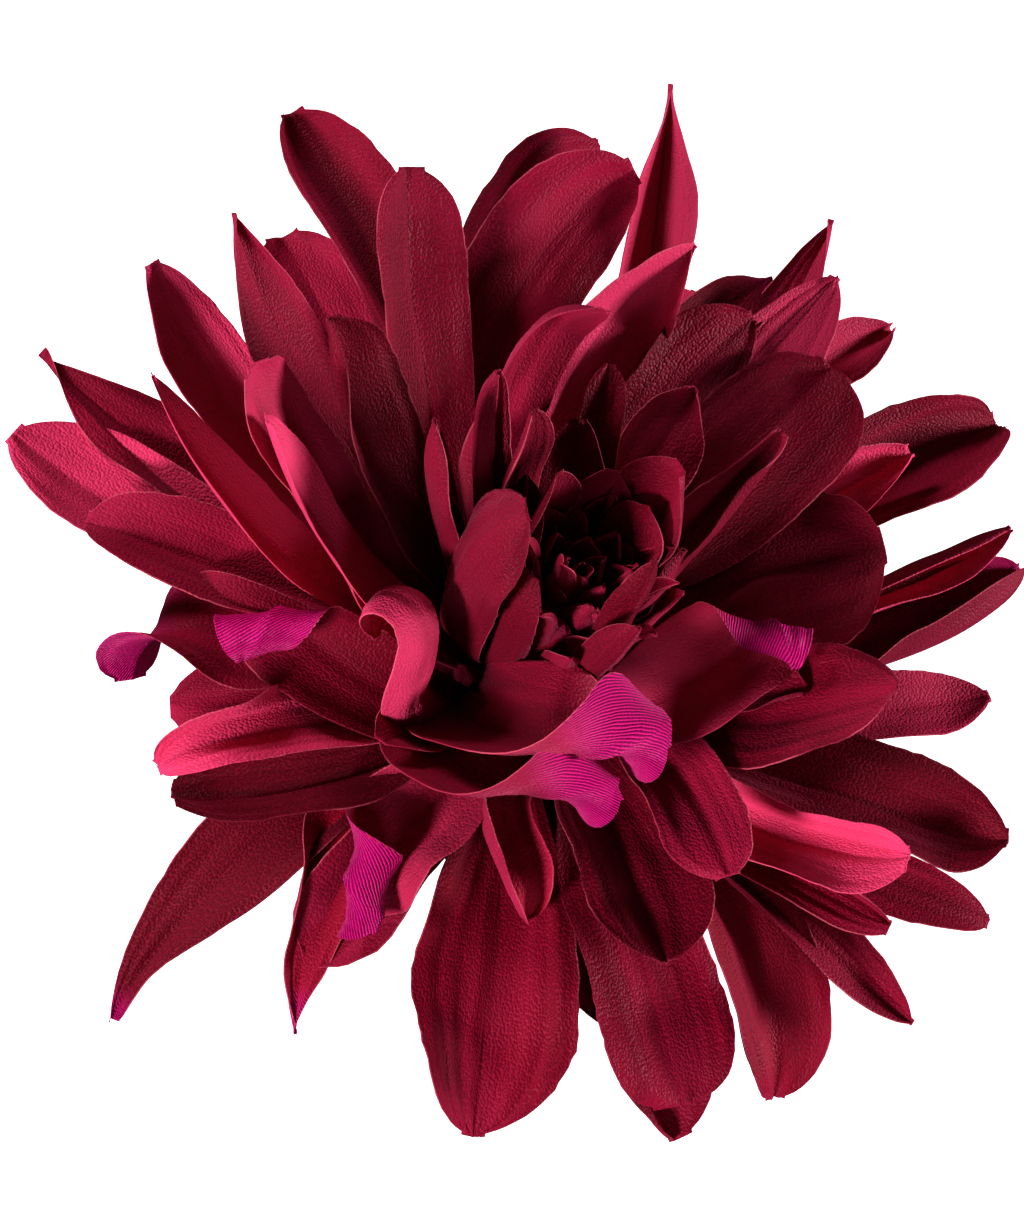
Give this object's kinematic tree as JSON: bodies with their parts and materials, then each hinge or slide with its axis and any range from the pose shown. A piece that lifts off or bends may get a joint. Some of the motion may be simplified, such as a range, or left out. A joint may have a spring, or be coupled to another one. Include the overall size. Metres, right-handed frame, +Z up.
{
  "type": "dahlia bloom",
  "caption": "Large double dahlia bloom with long layered ray florets round a half-open bud, bracts beneath and a short flat-cut stalk to stand on.",
  "frame": {"origin": "centre of the flat cut face at the stalk's lower end, on the surface the bloom rests on", "axes": "+Z up along the bloom's own axis, from the stalk to the bud; -Y is the side that the picture is taken from"},
  "size_m": [0.1315, 0.1371, 0.071],
  "materials": {
    "ray_florets": "velvety matte",
    "inner_bracts": "papery",
    "stalk_and_outer_bracts": "satin"
  },
  "bodies": {
    "root": {"ray_florets": "ray_florets", "inner_bracts": "inner_bracts", "stalk_and_outer_bracts": "stalk_and_outer_bracts"}
  },
  "joints": []
}
